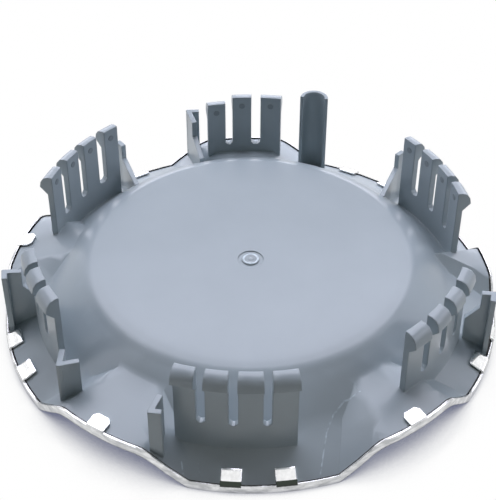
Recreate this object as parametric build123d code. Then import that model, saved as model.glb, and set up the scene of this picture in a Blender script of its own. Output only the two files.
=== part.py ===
# Wheel center cap, lying face down: grey moulded body and a pressed bright skin over its front.
# Millimetres, +Z up (the back of the cap), origin on the cap's axis at the level it rests on.
from build123d import *
from math import atan2, cos, degrees, hypot, radians, sin, sqrt, tan
import os

# Overall form
BODY_RADIUS = 93.6
RIM_LOW_Z = 2.6
RIM_EDGE_WALL = 1.5
BODY_WALL = 2.2
PLATEAU_RADIUS = 63.2
PLATEAU_Z = 25.0
SLOPE_FOOT_RADIUS = 77.6
SLOPE_FOOT_Z = 11.2
SLOPE_STEPS = 2
SHOULDER_RUN = 3.2
SLOPE_BULGE = 0.5
ARCH_FOOT_RADIUS = 71.0
ARCH_FOOT_Z = 18.2

# Metal skin
SEAT_GAP = 0.3
SKIN_WALL = 0.8
BAND_ABOVE_RIM = 0.6

# Arches of the rim, one between each pair of spoke channels. Each side starts at a crease, rises as a
# plane and rounds over into the top.
# Columns: centre and half width in degrees at the crease, rise, side slope in degrees,
# straight run of the side, round at its top
ARCHES = [
    (237.0, 20.3, 10.6, 26.9, 11.4, 7.0),
    (307.5, 18.9, 10.6, 29.8, 10.4, 7.0),
    (8.5, 9.7, 7.2, 40.1, 5.5, 3.5),
    (92.0, 19.9, 10.0, 25.7, 11.1, 7.1),
    (166.0, 19.4, 9.6, 25.1, 10.9, 7.1),
]
CREASE_TURN = 24.0
ARCH_OVERLAP = 1.6
ARCH_SPREAD = 4.0

# Snap fingers
FINGER_INNER_RADIUS = 80.0
FINGER_WALL = 2.4
FINGER_TOP_Z = 43.2
FINGER_CROWN = 1.6
BARB_RADIUS = 85.4
BARB_TIP_Z = 38.2
BARB_ROOT_Z = 35.0
SLOT_FLOOR_Z = 19.6
SLOT_CORNER = 1.1
SHORT_FINGER_DROP = 2.8
# Finger edges of each group in degrees, one pair for each finger
FINGER_GROUPS = [
    [(132.9, 137.8), (140.9, 146.2), (149.0, 154.3), (157.7, 163.3)],
    [(81.0, 87.1), (89.9, 95.5), (97.7, 103.0)],
    [(10.0, 15.7), (18.3, 23.9), (26.8, 32.0), (34.9, 39.5)],
    [(310.3, 315.9), (318.5, 323.7), (326.6, 331.5), (334.1, 339.5)],
    [(251.9, 257.2), (259.5, 264.9), (267.2, 273.0), (275.1, 281.2)],
    [(193.3, 199.0), (201.0, 206.3), (208.7, 214.4)],
]
SHORT_FINGER = (97.7, 103.0)

# Posts and ribs: plan start, plan end, top height at the start and at the end
RIB_WALL = 2.0
RIBS = [
    ((-32.6, -86.0), (-29.8, -78.6), 30.8, 30.8),
    ((-33.4, -85.6), (-28.9, -86.2), 30.8, 30.8),
    ((-65.3, -62.6), (-65.0, -54.6), 28.0, 28.0),
    ((-65.9, -61.9), (-58.7, -60.0), 28.0, 28.0),
    ((-27.0, 89.2), (-24.0, 79.6), 30.8, 30.8),
    ((-27.6, 88.4), (-22.4, 88.6), 30.8, 30.8),
    ((-24.3, 80.6), (-20.6, 68.0), 24.0, 20.4),
    ((88.6, -27.4), (83.6, -27.0), 30.0, 30.0),
    ((84.0, -27.0), (78.6, -26.8), 24.0, 18.0),
    ((87.9, -26.6), (87.0, -31.6), 30.0, 30.0),
    ((-91.4, -16.2), (-84.4, -15.8), 30.0, 30.0),
    ((-85.0, -15.8), (-78.2, -15.6), 24.0, 17.0),
    ((-90.7, -15.4), (-90.0, -20.2), 30.0, 30.0),
    ((63.4, 63.2), (60.7, 60.5), 28.0, 28.0),
    ((61.2, 61.4), (53.6, 43.6), 21.6, 19.6),
    ((-56.0, 71.0), (-53.4, 67.6), 27.2, 27.2),
    ((-54.2, 69.2), (-47.0, 50.7), 21.2, 19.6),
]

# Half-round channel post
CHANNEL_CENTRE = (26.4, 78.6)
CHANNEL_RADIUS = 5.8
CHANNEL_WALL = 1.4
CHANNEL_TOP_Z = 44.0
CHANNEL_OPEN_SIDE = -100.0

# Mark where the moulding was filled
GATE_OFFSET = -2.8
GATE_OUTER_RADIUS = 4.8
GATE_RING_RADIUS = 3.3
GATE_RING_WALL = 0.6
GATE_NUB_RADIUS = 0.8
GATE_DEPTH = 0.35

# Folded tabs of the skin
TAB_WIDTH = 7.1
TAB_LENGTH = 4.6
TAB_CORNER = 1.4
TAB_CUT_WIDTH = 5.6
TAB_CUT_LENGTH = 2.0
SQUARE_TABS = [266.0, 277.5, 196.0, 207.0, 336.6, 347.5, 50.0, 62.0, 122.0, 134.0]
CLIPPED_TABS = [236.0, 307.6, 166.0]


SLOPE_RUN = SLOPE_FOOT_RADIUS - PLATEAU_RADIUS
SLOPE_FALL = PLATEAU_Z - SLOPE_FOOT_Z
SLOPE_LENGTH = hypot(SLOPE_RUN, SLOPE_FALL)
DEEP = -20.0


def slope_radius(depth, height):
    """Radius of the slope at a height, for a surface this deep under the back face."""
    start_radius = PLATEAU_RADIUS - depth * SLOPE_FALL / SLOPE_LENGTH
    start_height = PLATEAU_Z - depth * SLOPE_RUN / SLOPE_LENGTH
    return start_radius + (start_height - height) * SLOPE_RUN / SLOPE_FALL


def flange_line(depth, rim_drop, rise, radius):
    """Height at a radius of the straight line out to the rim, in a low stretch or along an arch."""
    if rise > 0.0:
        foot_z = ARCH_FOOT_Z - depth
        foot_radius = ARCH_FOOT_RADIUS
    else:
        foot_z = SLOPE_FOOT_Z - depth
        foot_radius = slope_radius(depth, foot_z)
    rim_z = RIM_LOW_Z + rise - rim_drop
    return foot_z + (rim_z - foot_z) * (radius - foot_radius) / (BODY_RADIUS - foot_radius)


def dish_fill(depth, rim_drop, radius):
    """Everything under the turned surface this deep: plateau, slope and low flange."""
    top_z = PLATEAU_Z - depth
    foot_z = SLOPE_FOOT_Z - depth
    corner = slope_radius(depth, top_z)
    start_z = top_z - SHOULDER_RUN * SLOPE_FALL / SLOPE_LENGTH
    outline = [(0, 0, DEEP), (0, 0, top_z), (corner - SHOULDER_RUN, 0, top_z)]
    steps = 1 if depth > 0.0 else SLOPE_STEPS
    for step in range(steps + 1):
        share = step / steps
        height = start_z + (foot_z - start_z) * share
        bulge = SLOPE_BULGE * 4.0 * share * (1.0 - share)
        outline.append((slope_radius(depth, height) + bulge, 0, height))
    outline.append((radius, 0, flange_line(depth, rim_drop, 0.0, radius)))
    outline.append((radius, 0, DEEP))
    return revolve(make_face(Polyline(*outline, close=True)), axis=Axis.Z, revolution_arc=360)


def side_fill(arch, side, rim_drop):
    """Everything under one side of an arch: a sheared prism that follows the crease inwards."""
    centre, half_width, rise, side_slope, run, top_round = arch
    edge = radians(centre + side * half_width)
    turned = radians(CREASE_TURN)
    outward = Vector(cos(edge), sin(edge), 0)
    along_rim = Vector(side * sin(edge), -side * cos(edge), 0)
    inward = outward * -cos(turned) + along_rim * sin(turned)
    across = outward * sin(turned) + along_rim * cos(turned)
    chord = BODY_RADIUS * cos(turned)
    crease_length = chord - sqrt(chord * chord - BODY_RADIUS**2 + SLOPE_FOOT_RADIUS**2)
    climb = (SLOPE_FOOT_Z - RIM_LOW_Z) / crease_length
    ruling = inward + Vector(0, 0, climb)
    start = 12.0
    length = 50.0
    slope = radians(side_slope)
    low = RIM_LOW_Z - rim_drop
    turn_z = low + run * tan(slope)
    apex = run + top_round * sin(slope)
    over = radians(15.0)
    arc_z = turn_z - top_round * cos(slope)
    bend_end = (apex + top_round * sin(over), arc_z + top_round * cos(over))
    bend_middle = (apex, arc_z + top_round)
    reach = 70.0
    outline = [
        Line((-3, low - 3 * tan(slope)), (run, turn_z)),
        ThreePointArc((run, turn_z), bend_middle, bend_end),
        Line(bend_end, (bend_end[0], 60)),
        Line((bend_end[0], 60), (reach, 60)),
        Line((reach, 60), (reach, 2 * DEEP)),
        Line((reach, 2 * DEEP), (-3, 2 * DEEP)),
        Line((-3, 2 * DEEP), (-3, low - 3 * tan(slope))),
    ]
    origin = outward * BODY_RADIUS - ruling * start
    plane = Plane(origin=origin, x_dir=across, z_dir=across.cross(Vector(0, 0, 1)))
    face = plane * Face(Wire(outline))
    return extrude(face, amount=(start + length) * ruling.length, dir=ruling)


def arch_fill(arch, depth, rim_drop, radius):
    """Everything under one raised arch of the flange."""
    centre, half_width, rise = arch[0:3]
    inner = slope_radius(depth, ARCH_FOOT_Z - depth) - ARCH_OVERLAP
    spread = half_width + ARCH_SPREAD
    top = make_face(Polyline(
        (inner, 0, DEEP),
        (inner, 0, flange_line(depth, rim_drop, rise, inner)),
        (radius, 0, flange_line(depth, rim_drop, rise, radius)),
        (radius, 0, DEEP),
        close=True,
    ))
    fill = Rot(0, 0, centre - spread) * revolve(top, axis=Axis.Z, revolution_arc=2 * spread)
    for side in (-1, 1):
        fill = fill & side_fill(arch, side, rim_drop)
    return fill


def fill_under(depth, rim_drop, radius):
    """Everything under the back of the cap, or under a surface this deep below it."""
    fill = dish_fill(depth, rim_drop, radius)
    for arch in ARCHES:
        fill += arch_fill(arch, depth, rim_drop, radius)
    return fill


def body_shell():
    """Plateau, slope and flange of the body."""
    outside = fill_under(0.0, 0.0, BODY_RADIUS)
    return outside - fill_under(BODY_WALL, RIM_EDGE_WALL, BODY_RADIUS + 3.0)


def finger_profile(drop):
    """Radial section of a finger, from its foot to the barb."""
    outer = FINGER_INNER_RADIUS + FINGER_WALL
    crown = FINGER_INNER_RADIUS + FINGER_CROWN
    top = FINGER_TOP_Z - drop
    tip = BARB_TIP_Z - drop
    outline = [(FINGER_INNER_RADIUS, 0, 0), (FINGER_INNER_RADIUS, 0, top), (crown, 0, top)]
    for turn in (30.0, 60.0):
        reach = crown + (BARB_RADIUS - crown) * sin(radians(turn))
        outline.append((reach, 0, tip + (top - tip) * cos(radians(turn))))
    outline += [(BARB_RADIUS, 0, tip), (outer, 0, BARB_ROOT_Z - drop), (outer, 0, 0)]
    return make_face(Polyline(*outline, close=True))


def sector(profile, from_az, to_az):
    """A radial section turned from one azimuth to another."""
    turned = revolve(profile, axis=Axis.Z, revolution_arc=to_az - from_az)
    return Rot(0, 0, from_az) * turned


def slot_cutter(from_az, to_az):
    """Parallel-sided slot with broken floor corners."""
    middle = (from_az + to_az) / 2.0
    width = 2.0 * FINGER_INNER_RADIUS * sin(radians(to_az - from_az) / 2.0)
    height = 2.0 * (FINGER_TOP_Z - SLOT_FLOOR_Z)
    opening = Rectangle(width, height)
    floor = opening.vertices().sort_by(Axis.Y)[:2]
    opening = chamfer(floor, SLOT_CORNER)
    upright = Plane(
        origin=(FINGER_INNER_RADIUS - 3.0, 0, SLOT_FLOOR_Z + height / 2.0),
        x_dir=(0, 1, 0),
        z_dir=(1, 0, 0),
    )
    return Rot(0, 0, middle) * extrude(upright * opening, amount=10.0)


def finger_group(edges):
    """One group of fingers on its common wall."""
    first = edges[0][0]
    last = edges[-1][1]
    if SHORT_FINGER in edges:
        split = (edges[-2][1] + edges[-1][0]) / 2.0
        group = sector(finger_profile(0.0), first, split)
        group += sector(finger_profile(SHORT_FINGER_DROP), split, last)
    else:
        group = sector(finger_profile(0.0), first, last)
    for finger, following in zip(edges, edges[1:]):
        group -= slot_cutter(finger[1], following[0])
    return group


def rib(start, end, start_top, end_top):
    """Upright rib with a straight or sloping top, from start to end in plan."""
    length = hypot(end[0] - start[0], end[1] - start[1])
    bearing = degrees(atan2(end[1] - start[1], end[0] - start[0]))
    side = make_face(Polyline(
        (0, 0, 0),
        (length, 0, 0),
        (length, 0, end_top),
        (0, 0, start_top),
        close=True,
    ))
    slab = extrude(side, amount=RIB_WALL / 2.0, dir=(0, 1, 0), both=True)
    return Pos(start[0], start[1], 0) * Rot(0, 0, bearing) * slab


def channel_post():
    """Half-round channel, open towards the middle of the cap."""
    outer = CHANNEL_RADIUS
    inner = CHANNEL_RADIUS - CHANNEL_WALL
    tube = Cylinder(outer, CHANNEL_TOP_Z, align=(Align.CENTER, Align.CENTER, Align.MIN))
    tube -= Cylinder(inner, CHANNEL_TOP_Z, align=(Align.CENTER, Align.CENTER, Align.MIN))
    mouth = Box(2 * outer, 4 * outer, 3 * CHANNEL_TOP_Z)
    post = tube - Rot(0, 0, CHANNEL_OPEN_SIDE) * Pos(outer, 0, 0) * mouth
    return Pos(CHANNEL_CENTRE[0], CHANNEL_CENTRE[1], 0) * post


def gate_recess():
    """Shallow round recess in the middle of the plateau."""
    recess = Cylinder(GATE_OUTER_RADIUS, 2 * GATE_DEPTH)
    return Pos(0, GATE_OFFSET, PLATEAU_Z) * recess


def gate_ring():
    """Raised ring and nub inside the recess."""
    height = GATE_DEPTH + 0.8
    ring = Cylinder(GATE_RING_RADIUS, height) - Cylinder(GATE_RING_RADIUS - GATE_RING_WALL, height)
    ring += Cylinder(GATE_NUB_RADIUS, height)
    return Pos(0, GATE_OFFSET, PLATEAU_Z - height / 2.0 + 0.1) * ring


def cap_body():
    """The grey moulding as one solid."""
    body = body_shell()
    body -= gate_recess()
    body += gate_ring()
    uprights = [finger_group(edges) for edges in FINGER_GROUPS]
    uprights += [rib(*values) for values in RIBS]
    uprights.append(channel_post())
    feet = fill_under(BODY_WALL / 2.0, RIM_EDGE_WALL / 2.0, BODY_RADIUS + 3.0)
    for upright in uprights:
        body += upright - feet
    return body


def flange_z(radius, azimuth):
    """Height of the back of the flange at a place in a low stretch or on top of an arch."""
    for arch in ARCHES:
        distance = abs((azimuth - arch[0] + 180.0) % 360.0 - 180.0)
        if distance < arch[1] / 2.0:
            return flange_line(0.0, 0.0, arch[2], radius)
    return flange_line(0.0, 0.0, 0.0, radius)


def tab(azimuth, clipped):
    """Strip that rises from the band and folds over the back of the body."""
    inset = 0.1
    outer = BODY_RADIUS + SEAT_GAP + SKIN_WALL - inset
    inner = BODY_RADIUS + SEAT_GAP + inset
    end = BODY_RADIUS - TAB_LENGTH
    rim_z = flange_z(BODY_RADIUS, azimuth)
    end_z = flange_z(end, azimuth)
    seat = SEAT_GAP
    outline = make_face(Polyline(
        (inner, 0, rim_z - 1.0),
        (outer, 0, rim_z - 1.0),
        (outer, 0, rim_z + seat + 0.3),
        (outer - 0.7, 0, rim_z + seat + SKIN_WALL),
        (end, 0, end_z + seat + SKIN_WALL),
        (end, 0, end_z + seat),
        (BODY_RADIUS - 0.2, 0, rim_z + seat),
        (inner, 0, rim_z + seat - 0.1),
        close=True,
    ))
    strip = extrude(outline, amount=TAB_WIDTH / 2.0, dir=(0, 1, 0), both=True)
    if clipped:
        for side in (-1, 1):
            corner = Pos(end, side * TAB_WIDTH / 2.0, 0) * Rot(0, 0, 45)
            strip -= corner * Box(TAB_CORNER * sqrt(2.0), TAB_CORNER * sqrt(2.0), 80.0)
    return Rot(0, 0, azimuth) * strip


def tab_cut(azimuth):
    """Relief window through the fold of a tab."""
    rim_z = flange_z(BODY_RADIUS, azimuth)
    window = Box(TAB_CUT_LENGTH, TAB_CUT_WIDTH, 4.0)
    place = Pos(BODY_RADIUS - TAB_CUT_LENGTH / 2.0 + 0.2, 0, rim_z + 2.0)
    return Rot(0, 0, azimuth) * place * window


def chrome_skin():
    """Pressed bright skin: dish, flange, upturned band and folded tabs."""
    back = BODY_WALL + SEAT_GAP
    back_drop = RIM_EDGE_WALL + SEAT_GAP
    band_inner = BODY_RADIUS + SEAT_GAP
    band_outer = band_inner + SKIN_WALL
    front_space = fill_under(back + SKIN_WALL, back_drop + SKIN_WALL, band_outer + 3.0)
    sheet = fill_under(back, back_drop, band_inner + SKIN_WALL / 2.0)
    band = Pos(0, 0, BAND_ABOVE_RIM) * fill_under(0.0, 0.0, band_outer)
    band -= Cylinder(band_inner, 200.0)
    skin = sheet + band - front_space
    for azimuth in SQUARE_TABS:
        skin += tab(azimuth, False)
    for azimuth in CLIPPED_TABS:
        skin += tab(azimuth, True)
    for azimuth in SQUARE_TABS:
        skin -= tab_cut(azimuth)
    return skin


os.makedirs("parts", exist_ok=True)
export_step(cap_body(), "parts/cap_body.step")
export_step(chrome_skin(), "parts/chrome_skin.step")
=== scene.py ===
"""Looks, light and camera for the wheel center cap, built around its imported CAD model."""
import math

import bmesh
import bpy
from mathutils import Matrix, Vector
from mathutils.bvhtree import BVHTree


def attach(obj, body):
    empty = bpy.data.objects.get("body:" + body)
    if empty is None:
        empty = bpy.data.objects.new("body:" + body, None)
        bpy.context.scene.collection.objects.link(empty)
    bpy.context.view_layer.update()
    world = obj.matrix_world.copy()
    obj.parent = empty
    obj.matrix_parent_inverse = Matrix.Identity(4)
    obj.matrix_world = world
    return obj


MM = 0.001

# Camera, in mm and degrees
CAMERA_ELEVATION = 40.08
CAMERA_ROLL = 0.183
CAMERA_DISTANCE = 453.9
CAMERA_TARGET = (-0.77, -19.15, 43.2)
FOCAL_PX = 1264.4
IMAGE_HEIGHT_PX = 500.0
CENTRE_SHIFT_PX = 0.6
SENSOR_MM = 36.0

# Lamps: name, place, width, depth and power
LAMPS = [
    ("key", (-40.0, 460.0, 860.0), 1500.0, 720.0, 10.7),
    ("right", (900.0, 60.0, 420.0), 560.0, 560.0, 2.0),
    ("back", (0.0, 1000.0, 190.0), 1600.0, 400.0, 4.2),
    ("left", (-900.0, 60.0, 420.0), 560.0, 560.0, 1.0),
]
LAMP_COLOUR = (0.975, 0.975, 1.13)
SKY_LEVEL = 0.03
SKY_COLOUR = (1.0, 1.04, 0.86)

# Floor; its shade is full where the ambient occlusion is close, and gone where it is open
WHITE = (1.0, 1.0, 1.0)
FLOOR_SIZE = 6000.0
FLOOR_LOW = 0.05
FLOOR_SHADE = (0.07, 0.085, 0.17)
FLOOR_SHADE_REACH = 32.0
FLOOR_SHADE_CLOSE = 0.26
FLOOR_SHADE_OPEN = 0.76
FLOOR_SHADE_FROM_Y = -15.0
FLOOR_SHADE_FULL_Y = -60.0
FLOOR_SHADE_BEHIND = 0.3
FLOOR_UNSEEN = (0.80, 0.81, 0.75)

# Grey plastic; the scales of all textures are per metre
PLASTIC_COLOUR = (0.348, 0.408, 0.435)
PLASTIC_PALE = (0.371, 0.433, 0.460)
PLASTIC_ROUGHNESS = 0.29
PLASTIC_EDGE_ROUND = 0.6
MOTTLE_SCALE = 38.0
GRAIN_SCALE = 1400.0
GRAIN_STRENGTH = 0.05
GRAIN_DEPTH = 0.2

# Bright metal
METAL_COLOUR = (0.93, 0.935, 0.94)
METAL_TARNISHED = 0.86
# Band colour: scratch wear and a painted reflection of the darker surroundings the band faces
METAL_WORN_AND_SHADED = (0.46, 0.47, 0.48)
# Painted shade on the band's rounded lower edge, where it faces down
METAL_UNDER_SHADE = (0.09, 0.10, 0.11)
METAL_ROUGHNESS_LOW = 0.08
METAL_ROUGHNESS_HIGH = 0.20
METAL_EDGE_ROUND = 0.5
UNDER_EDGE_ROUND = 0.9
UNDER_LIMITS = (0.30, 0.60)
TARNISH_SCALE = 420.0
STREAK_SCALE = 210.0
STREAK_SQUEEZE = 2.5
WEAR_SCALE = 160.0
WAVE_SCALE = 90.0
WAVE_STRENGTH = 0.12
WAVE_DEPTH = 0.6
# Painted shade on the outer bends of the tabs at the front
BEND_PAINTED_SHADE = (0.045, 0.055, 0.045)
NEAR_BEND_Y = -80.0

# Dark seam between the body's rim and the band, a painted shade in the gap, as radii
SEAM_BODY_RADIUS = 93.25
SEAM_TOP_Z = 13.8
BAND_INNER_RADIUS = 93.98
BAND_INWARD = -0.7
# Near-black colour of the seam, a painted shade
SEAM_PAINTED_SHADE = (0.012, 0.013, 0.012)

# Bends up to this angle are shaded smooth, once corners this close are joined
SMOOTH_ANGLE = 38.0
JOIN_DISTANCE = 0.002
NORMAL_WEIGHT = 80

# Soft shoulder of the plateau, as a turn of its shading only: radius, tilt outwards
SHOULDER_TILTS = [
    (0.0, 0.0), (30.0, 0.0), (46.0, 0.005), (52.0, 0.03), (56.0, 0.09), (59.5, 0.22),
    (63.2, 0.22), (66.0, 0.02), (72.0, 0.0),
]
SHOULDER_BEHIND = 0.1
SHOULDER_FROM_Y = 10.0
SHOULDER_FULL_Y = -30.0
CURVE_MIDDLE = 0.5

# Gate mark: radius and height of its ring's section; the ring is painted pale, a painted highlight
PLATEAU_Z = 25.0
GATE_OFFSET = -2.8
GATE_SECTION = [(0.0, 0.06), (2.2, 0.06), (2.45, 0.22), (2.75, 0.3), (3.05, 0.2), (3.25, -0.1)]
GATE_STEPS = 64
GATE_FLAT_HEIGHTS = (0.07, 0.2)
GATE_FLAT_SHADE = 0.9
# How much paler the ring is painted, a painted highlight
GATE_RING_HIGHLIGHTS = (1.5, 1.95)
GATE_RING_SCALE = 700.0

# Folded tabs of the skin
TAB_WIDTH = 7.2
TAB_EDGE = 0.95
TAB_END_RADIUS = 89.0
TAB_BEND_RADIUS = 93.2
TAB_OUTER_RADIUS = 94.75
TAB_PROUD = 0.12
TAB_SHEET = 0.1
TAB_AZIMUTHS = [266.0, 277.5, 196.0, 207.0, 336.6, 347.5, 50.0, 62.0, 122.0, 134.0]

# Fine raised creases beside the near arches, as places in plan
CREASE_LINES = [
    [(23.5, -89.9), (24.8, -82.9), (26.1, -75.8), (28.4, -70.8), (32.4, -66.4), (38.0, -64.0)],
    [(-17.6, -86.3), (-16.7, -90.6)],
    [(-23.2, -86.0), (-22.5, -90.0)],
]
CREASE_HALF_WIDTH = 0.32
CREASE_PROUD = 0.09
CREASE_SUNK = 0.03
CREASE_STEPS = 8
# How much paler the creases are painted, a painted highlight
CREASE_HIGHLIGHT = 1.5
CREASE_SCALE = 500.0

# Ejector marks near the tops of the fingers' inner faces
FINGER_INNER_RADIUS = 80.0
FINGER_TOP_Z = 43.2
SHORT_FINGER_DROP = 2.8
EJECTOR_DOWN = 4.2
EJECTOR_RADIUS = 1.25
EJECTOR_THICKNESS = 0.36
EJECTOR_CORNERS = 24
EJECTOR_SHADES = (0.60, 0.78)
EJECTOR_SCALE = 900.0
FINGER_AZIMUTHS = [
    135.4, 143.6, 151.6, 160.5,
    84.1, 92.7, 100.4,
    12.9, 21.1, 29.4, 37.2,
    313.1, 321.1, 329.0, 336.8,
    254.6, 262.2, 270.1, 278.2,
    196.2, 203.7, 211.6,
]
SHORT_FINGER_AZIMUTH = 100.4

# Height from which the surfaces are sought downwards
SEEK_FROM_Z = 100.0


def new_material(name):
    """Empty node material with its output node."""
    material = bpy.data.materials.new(name)
    material.use_nodes = True
    nodes = material.node_tree.nodes
    nodes.clear()
    output = nodes.new("ShaderNodeOutputMaterial")
    return material, nodes, material.node_tree.links, output


def new_shaded(name, roughness):
    """Material with one principled shader."""
    material, nodes, links, output = new_material(name)
    shader = nodes.new("ShaderNodeBsdfPrincipled")
    shader.inputs["Roughness"].default_value = roughness
    links.new(shader.outputs["BSDF"], output.inputs["Surface"])
    return material, nodes, links, shader


def object_place(nodes):
    """Place on the object, in metres."""
    return nodes.new("ShaderNodeTexCoord").outputs["Object"]


def place_part(nodes, links, axis):
    """One coordinate of the place on the object."""
    split = nodes.new("ShaderNodeSeparateXYZ")
    links.new(object_place(nodes), split.inputs["Vector"])
    return split.outputs[axis]


def noise(nodes, links, place, scale, detail):
    """Noise over a place."""
    texture = nodes.new("ShaderNodeTexNoise")
    texture.inputs["Scale"].default_value = scale
    texture.inputs["Detail"].default_value = detail
    links.new(place, texture.inputs["Vector"])
    return texture.outputs["Fac"]


def arithmetic(nodes, links, operation, first, second):
    """One operation on two values, each a socket or a number."""
    node = nodes.new("ShaderNodeMath")
    node.operation = operation
    for place, value in enumerate((first, second)):
        if isinstance(value, float):
            node.inputs[place].default_value = value
        else:
            links.new(value, node.inputs[place])
    return node.outputs["Value"]


def vector_math(nodes, links, operation, first, second=None):
    """One vector operation; each input is a socket or a constant."""
    node = nodes.new("ShaderNodeVectorMath")
    node.operation = operation
    for place, value in enumerate((first, second)):
        if isinstance(value, tuple):
            node.inputs[place].default_value = value
        elif value is not None:
            links.new(value, node.inputs[place])
    return node


def map_range(nodes, links, value, start, end, low=0.0, high=1.0, smooth=False):
    """Value moved from one range to another, straight or eased at both ends."""
    node = nodes.new("ShaderNodeMapRange")
    if smooth:
        node.interpolation_type = "SMOOTHSTEP"
    node.inputs["From Min"].default_value = start
    node.inputs["From Max"].default_value = end
    node.inputs["To Min"].default_value = low
    node.inputs["To Max"].default_value = high
    links.new(value, node.inputs["Value"])
    return node.outputs["Result"]


def colour_ramp(nodes, links, share, low, high, low_at=0.0, high_at=1.0):
    """Colour that runs from low to high with a share."""
    node = nodes.new("ShaderNodeValToRGB")
    start, end = node.color_ramp.elements
    start.position = low_at
    start.color = (*low, 1.0)
    end.position = high_at
    end.color = (*high, 1.0)
    links.new(share, node.inputs["Fac"])
    return node.outputs["Color"]


def blend_colour(nodes, links, share, first, second):
    """Mix of two colours, each a socket or a constant."""
    mix = nodes.new("ShaderNodeMix")
    mix.data_type = "RGBA"
    links.new(share, mix.inputs["Factor"])
    for socket, value in ((mix.inputs[6], first), (mix.inputs[7], second)):
        if isinstance(value, tuple):
            socket.default_value = (*value, 1.0)
        else:
            links.new(value, socket)
    return mix.outputs[2]


def shade(colour, factor):
    """Colour made paler or darker."""
    return tuple(factor * part for part in colour)


def bump(nodes, links, shader, height, strength, depth, normal):
    """Give a shader small bumps on top of a normal."""
    node = nodes.new("ShaderNodeBump")
    node.inputs["Strength"].default_value = strength
    node.inputs["Distance"].default_value = depth * MM
    links.new(height, node.inputs["Height"])
    links.new(normal, node.inputs["Normal"])
    links.new(node.outputs["Normal"], shader.inputs["Normal"])


def flat_place(nodes, links):
    """Vector from the cap's axis, level with the floor."""
    place = object_place(nodes)
    return vector_math(nodes, links, "MULTIPLY", place, (1.0, 1.0, 0.0)).outputs["Vector"]


def axis_distance(nodes, links):
    """Distance from the cap's axis."""
    return vector_math(nodes, links, "LENGTH", flat_place(nodes, links)).outputs["Value"]


def outward(nodes, links):
    """Direction away from the cap's axis."""
    return vector_math(nodes, links, "NORMALIZE", flat_place(nodes, links)).outputs["Vector"]


def beyond(nodes, links, limit):
    """1 where the distance from the axis is more than a limit, else 0."""
    return arithmetic(nodes, links, "GREATER_THAN", axis_distance(nodes, links), limit * MM)


def soft_edges(nodes, radius):
    """Normal that rounds every edge a little, as a moulding or pressing has."""
    bevel = nodes.new("ShaderNodeBevel")
    bevel.samples = 6
    bevel.inputs["Radius"].default_value = radius * MM
    return bevel.outputs["Normal"]


def shoulder_tilt(nodes, links):
    """Outward tilt of the shading, by the distance from the axis."""
    reach = SHOULDER_TILTS[-1][0]
    curve = nodes.new("ShaderNodeFloatCurve")
    points = curve.mapping.curves[0].points
    points[0].location = (0.0, CURVE_MIDDLE + SHOULDER_TILTS[0][1])
    points[1].location = (1.0, CURVE_MIDDLE + SHOULDER_TILTS[-1][1])
    for radius, tilt in SHOULDER_TILTS[1:-1]:
        points.new(radius / reach, CURVE_MIDDLE + tilt)
    curve.mapping.update()
    share = map_range(nodes, links, axis_distance(nodes, links), 0.0, reach * MM)
    links.new(share, curve.inputs["Value"])
    return arithmetic(nodes, links, "SUBTRACT", curve.outputs["Value"], CURVE_MIDDLE)


def shoulder_normal(nodes, links, normal):
    """Normal tilted outwards near the plateau's edge, mostly at the front."""
    front = map_range(
        nodes,
        links,
        place_part(nodes, links, "Y"),
        SHOULDER_FROM_Y * MM,
        SHOULDER_FULL_Y * MM,
        low=SHOULDER_BEHIND,
        smooth=True,
    )
    tilt = arithmetic(nodes, links, "MULTIPLY", shoulder_tilt(nodes, links), front)
    turn = vector_math(nodes, links, "SCALE", outward(nodes, links))
    links.new(tilt, turn.inputs["Scale"])
    added = vector_math(nodes, links, "ADD", normal, turn.outputs["Vector"])
    return vector_math(nodes, links, "NORMALIZE", added.outputs["Vector"]).outputs["Vector"]


def rim_seam_shade(nodes, links):
    """1 on the edge of the rim beside the band, where the seam's shade is painted, and 0 on the
    posts above it.
    """
    low = arithmetic(nodes, links, "LESS_THAN", place_part(nodes, links, "Z"), SEAM_TOP_Z * MM)
    return arithmetic(nodes, links, "MULTIPLY", low, beyond(nodes, links, SEAM_BODY_RADIUS))


def grey_plastic():
    """Satin grey moulding with a faint mottle, a fine grain and painted shade in the seam at its
    rim.
    """
    material, nodes, links, shader = new_shaded("grey_plastic", PLASTIC_ROUGHNESS)
    shader.inputs["IOR"].default_value = 1.5
    mottle = noise(nodes, links, object_place(nodes), MOTTLE_SCALE, 3.0)
    colour = colour_ramp(nodes, links, mottle, PLASTIC_COLOUR, PLASTIC_PALE, 0.3, 0.7)
    # Painted shade: the rim's edge beside the band is made near black, as the gap's shadow
    colour = blend_colour(nodes, links, rim_seam_shade(nodes, links), colour, SEAM_PAINTED_SHADE)
    links.new(colour, shader.inputs["Base Color"])
    grain = noise(nodes, links, object_place(nodes), GRAIN_SCALE, 2.0)
    normal = shoulder_normal(nodes, links, soft_edges(nodes, PLASTIC_EDGE_ROUND))
    bump(nodes, links, shader, grain, GRAIN_STRENGTH, GRAIN_DEPTH, normal)
    return material


def patchy_colour(nodes, links, scale, low, high, low_at=0.0, high_at=1.0):
    """Colour that varies in small patches."""
    patches = noise(nodes, links, object_place(nodes), scale, 2.0)
    return colour_ramp(nodes, links, patches, low, high, low_at, high_at)


def ejector_plastic():
    """The moulding's plastic, darker and duller where an ejector pressed."""
    material, nodes, links, shader = new_shaded("ejector_mark", 0.5)
    low, high = [shade(PLASTIC_COLOUR, factor) for factor in EJECTOR_SHADES]
    colour = patchy_colour(nodes, links, EJECTOR_SCALE, low, high)
    links.new(colour, shader.inputs["Base Color"])
    return material


def crease_highlight_plastic():
    """The moulding's plastic, made paler in patches on the creases, a painted highlight."""
    material, nodes, links, shader = new_shaded("crease_painted_highlight", 0.4)
    pale = shade(PLASTIC_PALE, CREASE_HIGHLIGHT)
    colour = patchy_colour(nodes, links, CREASE_SCALE, PLASTIC_COLOUR, pale, 0.4, 0.65)
    links.new(colour, shader.inputs["Base Color"])
    return material


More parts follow.
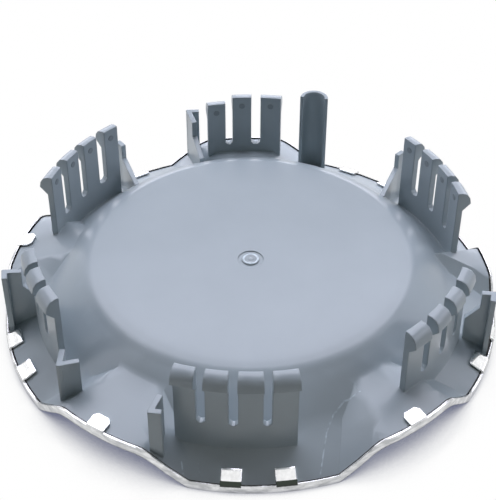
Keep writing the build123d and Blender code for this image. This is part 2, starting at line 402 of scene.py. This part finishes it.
def ring_highlight_plastic():
    """The moulding's plastic, paler and smoother on the ring, the paleness a painted highlight, and
    a little darker inside it.
    """
    material, nodes, links, shader = new_shaded("ring_painted_highlight", 0.2)
    low, high = [shade(PLASTIC_PALE, factor) for factor in GATE_RING_HIGHLIGHTS]
    pale_ring = patchy_colour(nodes, links, GATE_RING_SCALE, low, high, 0.35, 0.6)
    start, end = [(PLATEAU_Z + height) * MM for height in GATE_FLAT_HEIGHTS]
    raised = map_range(nodes, links, place_part(nodes, links, "Z"), start, end)
    colour = blend_colour(nodes, links, raised, shade(PLASTIC_COLOUR, GATE_FLAT_SHADE), pale_ring)
    links.new(colour, shader.inputs["Base Color"])
    return material


def worn_and_shaded_streaks(nodes, links):
    """Share of darkening on the band, in streaks that run round the cap: scratch wear, and a painted
    reflection of darker surroundings over the whole band.
    """
    squeeze = (1.0, 1.0, STREAK_SQUEEZE)
    squeezed = vector_math(nodes, links, "MULTIPLY", object_place(nodes), squeeze).outputs["Vector"]
    streaks = noise(nodes, links, squeezed, STREAK_SCALE, 4.0)
    level = map_range(nodes, links, streaks, 0.35, 0.62, low=0.35)
    return arithmetic(nodes, links, "MULTIPLY", beyond(nodes, links, BAND_INNER_RADIUS), level)


def inner_band_shade(nodes, links):
    """1 on the band's own inner face, where the seam's shade is painted, else 0."""
    normal = nodes.new("ShaderNodeNewGeometry").outputs["True Normal"]
    facing = vector_math(nodes, links, "DOT_PRODUCT", normal, outward(nodes, links))
    inward = arithmetic(nodes, links, "LESS_THAN", facing.outputs["Value"], BAND_INWARD)
    return arithmetic(nodes, links, "MULTIPLY", inward, beyond(nodes, links, SEAM_BODY_RADIUS))


def underside_shade(nodes, links):
    """1 where the rounded surface faces down, where shade is painted, else 0."""
    normal = soft_edges(nodes, UNDER_EDGE_ROUND)
    facing = vector_math(nodes, links, "DOT_PRODUCT", normal, (0.0, 0.0, -1.0))
    return map_range(nodes, links, facing.outputs["Value"], *UNDER_LIMITS, smooth=True)


def near_bend_shade(nodes, links):
    """1 on the outer bends of the tabs at the front, where shade is painted, else 0."""
    near = arithmetic(nodes, links, "LESS_THAN", place_part(nodes, links, "Y"), NEAR_BEND_Y * MM)
    return arithmetic(nodes, links, "MULTIPLY", near, beyond(nodes, links, TAB_BEND_RADIUS + 0.1))


def bright_metal(name, worn_and_shaded_band):
    """Polished pressed metal with faint waviness; either a band darkened by wear streaks and painted
    reflection, with painted shade at its seam and lower edge, or painted shade on the tabs' front
    bends.
    """
    material, nodes, links, shader = new_shaded(name, METAL_ROUGHNESS_LOW)
    shader.inputs["Metallic"].default_value = 1.0
    tarnish = noise(nodes, links, object_place(nodes), TARNISH_SCALE, 3.0)
    dull = shade(METAL_COLOUR, METAL_TARNISHED)
    colour = colour_ramp(nodes, links, tarnish, dull, METAL_COLOUR, 0.3, 0.6)
    if worn_and_shaded_band:
        # Scratch wear and painted reflection: the band is darkened in streaks
        colour = blend_colour(nodes, links, worn_and_shaded_streaks(nodes, links), colour, METAL_WORN_AND_SHADED)
        # Painted shade: the band's inner face at the seam is made near black
        colour = blend_colour(nodes, links, inner_band_shade(nodes, links), colour, SEAM_PAINTED_SHADE)
        # Painted shade: the band's lower edge, where it faces down, is made near black
        colour = blend_colour(nodes, links, underside_shade(nodes, links), colour, METAL_UNDER_SHADE)
    else:
        # Painted shade: the front tabs' outer bends are made dark
        colour = blend_colour(nodes, links, near_bend_shade(nodes, links), colour, BEND_PAINTED_SHADE)
    links.new(colour, shader.inputs["Base Color"])
    wear = noise(nodes, links, object_place(nodes), WEAR_SCALE, 3.0)
    rough = map_range(nodes, links, wear, 0.0, 1.0, METAL_ROUGHNESS_LOW, METAL_ROUGHNESS_HIGH)
    links.new(rough, shader.inputs["Roughness"])
    wave = noise(nodes, links, object_place(nodes), WAVE_SCALE, 1.0)
    normal = soft_edges(nodes, METAL_EDGE_ROUND)
    bump(nodes, links, shader, wave, WAVE_STRENGTH, WAVE_DEPTH, normal)
    return material


def seen_directly(nodes, links):
    """1 for rays that come from the camera, a mirror or glass, else 0."""
    path = nodes.new("ShaderNodeLightPath").outputs
    mirrored = arithmetic(nodes, links, "MAXIMUM", path["Is Camera Ray"], path["Is Glossy Ray"])
    return arithmetic(nodes, links, "MAXIMUM", mirrored, path["Is Transmission Ray"])


def floor_colour(nodes, links):
    """White, with a soft cool shade in front where the cap stands close over the floor."""
    nearby = nodes.new("ShaderNodeAmbientOcclusion")
    nearby.samples = 8
    nearby.inputs["Distance"].default_value = FLOOR_SHADE_REACH * MM
    shaded = colour_ramp(
        nodes, links, nearby.outputs["AO"], FLOOR_SHADE, WHITE, FLOOR_SHADE_CLOSE, FLOOR_SHADE_OPEN
    )
    front = map_range(
        nodes,
        links,
        place_part(nodes, links, "Y"),
        FLOOR_SHADE_FROM_Y * MM,
        FLOOR_SHADE_FULL_Y * MM,
        low=FLOOR_SHADE_BEHIND,
        smooth=True,
    )
    return blend_colour(nodes, links, front, WHITE, shaded)


def floor_material():
    """Floor that is seen white, and lights the cap as a pale matt surface."""
    material, nodes, links, output = new_material("floor_white")
    seen = nodes.new("ShaderNodeEmission")
    links.new(floor_colour(nodes, links), seen.inputs["Color"])
    unseen = nodes.new("ShaderNodeBsdfDiffuse")
    unseen.inputs["Color"].default_value = (*FLOOR_UNSEEN, 1.0)
    mix = nodes.new("ShaderNodeMixShader")
    links.new(seen_directly(nodes, links), mix.inputs["Fac"])
    links.new(unseen.outputs["BSDF"], mix.inputs[1])
    links.new(seen.outputs["Emission"], mix.inputs[2])
    links.new(mix.outputs["Shader"], output.inputs["Surface"])
    return material


def add_floor():
    """Plain floor just under the cap."""
    bpy.ops.mesh.primitive_plane_add(size=FLOOR_SIZE * MM, location=(0, 0, -FLOOR_LOW * MM))
    floor = bpy.context.object
    floor.name = "floor"
    floor.data.materials.append(floor_material())


def background(nodes, colour, level):
    """Plain light from all round."""
    node = nodes.new("ShaderNodeBackground")
    node.inputs["Color"].default_value = (*colour, 1.0)
    node.inputs["Strength"].default_value = level
    return node.outputs["Background"]


def add_sky():
    """White surroundings for the camera and mirrors, a dim sky for everything else."""
    world = bpy.data.worlds.new("surroundings")
    world.use_nodes = True
    nodes = world.node_tree.nodes
    links = world.node_tree.links
    nodes.clear()
    output = nodes.new("ShaderNodeOutputWorld")
    mix = nodes.new("ShaderNodeMixShader")
    links.new(seen_directly(nodes, links), mix.inputs["Fac"])
    links.new(background(nodes, SKY_COLOUR, SKY_LEVEL), mix.inputs[1])
    links.new(background(nodes, WHITE, 1.0), mix.inputs[2])
    links.new(mix.outputs["Shader"], output.inputs["Surface"])
    bpy.context.scene.world = world


def add_lamp(name, place, width, depth, power):
    """One soft box that faces the cap."""
    data = bpy.data.lights.new(name, "AREA")
    data.shape = "RECTANGLE"
    data.size = width * MM
    data.size_y = depth * MM
    data.energy = power
    data.color = LAMP_COLOUR
    lamp = bpy.data.objects.new(name, data)
    lamp.location = Vector(place) * MM
    lamp.rotation_euler = (-lamp.location).to_track_quat("-Z", "Y").to_euler()
    bpy.context.scene.collection.objects.link(lamp)


def add_camera():
    """Camera at the photograph's viewing angle."""
    elevation = math.radians(CAMERA_ELEVATION)
    roll = math.radians(CAMERA_ROLL)
    forward = Vector((0.0, math.cos(elevation), -math.sin(elevation)))
    level = Vector((1.0, 0.0, 0.0))
    upward = Vector((0.0, math.sin(elevation), math.cos(elevation)))
    right = math.cos(roll) * level + math.sin(roll) * upward
    up = -math.sin(roll) * level + math.cos(roll) * upward
    place = (Vector(CAMERA_TARGET) - forward * CAMERA_DISTANCE) * MM
    data = bpy.data.cameras.new("camera")
    data.sensor_width = SENSOR_MM
    data.lens = FOCAL_PX * SENSOR_MM / IMAGE_HEIGHT_PX
    data.shift_x = -CENTRE_SHIFT_PX / IMAGE_HEIGHT_PX
    data.clip_start = 0.01
    data.clip_end = 50.0
    camera = bpy.data.objects.new("camera", data)
    turned = Matrix((right, up, -forward)).transposed().to_4x4()
    camera.matrix_world = Matrix.Translation(place) @ turned
    bpy.context.scene.collection.objects.link(camera)
    bpy.context.scene.camera = camera


def smoothing_nodes():
    """Node group that joins split corners and smooths all but the sharp edges."""
    group = bpy.data.node_groups.new("smooth_bends", "GeometryNodeTree")
    group.interface.new_socket("Geometry", in_out="INPUT", socket_type="NodeSocketGeometry")
    group.interface.new_socket("Geometry", in_out="OUTPUT", socket_type="NodeSocketGeometry")
    start = group.nodes.new("NodeGroupInput")
    end = group.nodes.new("NodeGroupOutput")
    plain = group.nodes.new("GeometryNodeRemoveAttribute")
    plain.inputs["Name"].default_value = "custom_normal"
    joined = group.nodes.new("GeometryNodeMergeByDistance")
    joined.inputs["Distance"].default_value = JOIN_DISTANCE * MM
    faces = group.nodes.new("GeometryNodeSetShadeSmooth")
    faces.domain = "FACE"
    faces.inputs["Shade Smooth"].default_value = True
    edges = group.nodes.new("GeometryNodeSetShadeSmooth")
    edges.domain = "EDGE"
    angle = group.nodes.new("GeometryNodeInputMeshEdgeAngle")
    soft = group.nodes.new("FunctionNodeCompare")
    soft.data_type = "FLOAT"
    soft.operation = "LESS_THAN"
    soft.inputs[1].default_value = math.radians(SMOOTH_ANGLE)
    links = group.links
    links.new(angle.outputs["Unsigned Angle"], soft.inputs[0])
    links.new(start.outputs[0], plain.inputs["Geometry"])
    links.new(plain.outputs["Geometry"], joined.inputs["Geometry"])
    links.new(joined.outputs["Geometry"], faces.inputs["Geometry"])
    links.new(faces.outputs["Geometry"], edges.inputs["Geometry"])
    links.new(soft.outputs["Result"], edges.inputs["Shade Smooth"])
    links.new(edges.outputs["Geometry"], end.inputs[0])
    return group


def dress(node, material, smoothing):
    """Give a CAD node its material and smooth shading across soft bends."""
    node.data.materials.clear()
    node.data.materials.append(material)
    smooth = node.modifiers.new("smooth_bends", "NODES")
    smooth.node_group = smoothing
    weighted = node.modifiers.new("weighted_normals", "WEIGHTED_NORMAL")
    weighted.mode = "FACE_AREA"
    weighted.weight = NORMAL_WEIGHT
    weighted.keep_sharp = True


def new_piece(name, shape, material, smooth):
    """Object made from a shape, with one material."""
    mesh = bpy.data.meshes.new(name)
    shape.to_mesh(mesh)
    shape.free()
    for face in mesh.polygons:
        face.use_smooth = smooth
    mesh.materials.append(material)
    piece = bpy.data.objects.new(name, mesh)
    bpy.context.scene.collection.objects.link(piece)
    return piece


def join_rows(shape, rows):
    """Faces between each row of corners and the next."""
    for low, high in zip(rows, rows[1:]):
        for k in range(len(low) - 1):
            shape.faces.new((low[k], high[k], high[k + 1], low[k + 1]))


def surface_tree(node):
    """Search tree over a CAD node's faces."""
    return BVHTree.FromPolygons(
        [vertex.co for vertex in node.data.vertices],
        [tuple(face.vertices) for face in node.data.polygons],
    )


def top_of(tree, across, along):
    """Height of the topmost surface at a place in plan."""
    start = Vector((across, along, SEEK_FROM_Z)) * MM
    return tree.ray_cast(start, Vector((0.0, 0.0, -1.0)))[0].z / MM


def fold_line(tree, azimuth):
    """Section of a folded tab, from its inner end to below its outer bend: radius and height."""
    turn = math.radians(azimuth)
    inner, outer = TAB_END_RADIUS + 0.2, TAB_END_RADIUS + 2.0
    end_z = top_of(tree, inner * math.cos(turn), inner * math.sin(turn))
    mid_z = top_of(tree, outer * math.cos(turn), outer * math.sin(turn))
    slant = (mid_z - end_z) / (outer - inner)
    bend_z = end_z + slant * (TAB_BEND_RADIUS - inner)
    return [
        (TAB_END_RADIUS - 0.02, end_z + TAB_PROUD),
        (TAB_END_RADIUS + 0.12, end_z + TAB_PROUD + 0.02),
        (TAB_END_RADIUS + 2.2, end_z + 2.0 * slant + 1.6 * TAB_PROUD),
        (TAB_BEND_RADIUS, bend_z + 2.2 * TAB_PROUD),
        (TAB_BEND_RADIUS + 0.7, bend_z + 1.2 * TAB_PROUD),
        (TAB_OUTER_RADIUS - 0.25, bend_z - 0.45),
        (TAB_OUTER_RADIUS, bend_z - 1.1),
    ]


def add_tab_folds(node, material):
    """Folded sheet over each square tab, closed over its relief and bent down outside."""
    tree = surface_tree(node)
    shape = bmesh.new()
    sides = [side * TAB_WIDTH / 2.0 for side in (-1.0, -TAB_EDGE, TAB_EDGE, 1.0)]
    for azimuth in TAB_AZIMUTHS:
        turn = Matrix.Rotation(math.radians(azimuth), 4, "Z")
        rows = []
        for radius, height in fold_line(tree, azimuth):
            places = [Vector((radius, side, height)) * MM for side in sides]
            rows.append([shape.verts.new(turn @ place) for place in places])
        join_rows(shape, rows)
    bmesh.ops.recalc_face_normals(shape, faces=shape.faces)
    folds = new_piece("tab_folds", shape, material, True)
    sheet = folds.modifiers.new("sheet", "SOLIDIFY")
    sheet.thickness = TAB_SHEET * MM
    sheet.offset = -1.0
    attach(folds, "root")


def add_ejector_marks():
    """Small round marks near the top of every finger's inner face."""
    shape = bmesh.new()
    stand = Matrix.Rotation(math.radians(90.0), 4, "Y")
    for azimuth in FINGER_AZIMUTHS:
        drop = SHORT_FINGER_DROP if azimuth == SHORT_FINGER_AZIMUTH else 0.0
        turn = Matrix.Rotation(math.radians(azimuth), 4, "Z")
        place = Vector((FINGER_INNER_RADIUS, 0.0, FINGER_TOP_Z - EJECTOR_DOWN - drop)) * MM
        bmesh.ops.create_cone(
            shape,
            cap_ends=True,
            segments=EJECTOR_CORNERS,
            radius1=EJECTOR_RADIUS * MM,
            radius2=EJECTOR_RADIUS * MM,
            depth=EJECTOR_THICKNESS * MM,
            matrix=turn @ Matrix.Translation(place) @ stand,
        )
    marks = new_piece("ejector_marks", shape, ejector_plastic(), False)
    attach(marks, "root")


def crease_places(line):
    """Places along a crease in plan, each with the direction across it."""
    places = []
    for start, end in zip(line, line[1:]):
        along = Vector((end[0] - start[0], end[1] - start[1]))
        across = Vector((-along.y, along.x)).normalized()
        first = 1 if places else 0
        for step in range(first, CREASE_STEPS + 1):
            places.append((Vector(start) + along * (step / CREASE_STEPS), across))
    return places


def add_crease_lines(node):
    """Fine raised lines laid on the flange beside the near arches."""
    tree = surface_tree(node)
    shape = bmesh.new()
    section = [
        (-CREASE_HALF_WIDTH, -CREASE_SUNK),
        (0.0, CREASE_PROUD),
        (CREASE_HALF_WIDTH, -CREASE_SUNK),
    ]
    for line in CREASE_LINES:
        rows = []
        for middle, across in crease_places(line):
            row = []
            for side, lift in section:
                place = middle + across * side
                height = top_of(tree, place.x, place.y) + lift
                row.append(shape.verts.new(Vector((place.x, place.y, height)) * MM))
            rows.append(row)
        join_rows(shape, rows)
    bmesh.ops.recalc_face_normals(shape, faces=shape.faces)
    creases = new_piece("crease_lines", shape, crease_highlight_plastic(), True)
    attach(creases, "root")


def add_gate_ring():
    """Raised ring round the flat middle of the gate mark, painted bright as a painted highlight."""
    shape = bmesh.new()
    points = [shape.verts.new(Vector((radius, 0.0, height)) * MM) for radius, height in GATE_SECTION]
    edges = [shape.edges.new(pair) for pair in zip(points, points[1:])]
    bmesh.ops.spin(
        shape,
        geom=points + edges,
        axis=(0.0, 0.0, 1.0),
        cent=(0.0, 0.0, 0.0),
        steps=GATE_STEPS,
        angle=2.0 * math.pi,
    )
    bmesh.ops.remove_doubles(shape, verts=shape.verts, dist=0.001 * MM)
    bmesh.ops.recalc_face_normals(shape, faces=shape.faces)
    bmesh.ops.translate(shape, verts=shape.verts, vec=Vector((0.0, GATE_OFFSET, PLATEAU_Z)) * MM)
    ring = new_piece("gate_ring", shape, ring_highlight_plastic(), True)
    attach(ring, "root")


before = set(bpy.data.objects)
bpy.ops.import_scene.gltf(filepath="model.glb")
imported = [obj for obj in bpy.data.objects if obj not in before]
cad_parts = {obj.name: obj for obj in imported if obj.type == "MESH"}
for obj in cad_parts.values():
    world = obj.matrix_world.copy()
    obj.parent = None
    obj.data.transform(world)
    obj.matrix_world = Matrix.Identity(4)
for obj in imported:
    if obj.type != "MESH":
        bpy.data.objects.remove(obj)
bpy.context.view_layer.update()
smoothing = smoothing_nodes()
dress(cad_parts["cap_body"], grey_plastic(), smoothing)
dress(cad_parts["chrome_skin"], bright_metal("bright_metal", True), smoothing)
add_tab_folds(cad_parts["chrome_skin"], bright_metal("tab_metal", False))
add_ejector_marks()
add_crease_lines(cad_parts["cap_body"])
add_gate_ring()
add_floor()
add_sky()
for name, place, width, depth, power in LAMPS:
    add_lamp(name, place, width, depth, power)
add_camera()
bpy.context.scene.view_settings.view_transform = "Standard"
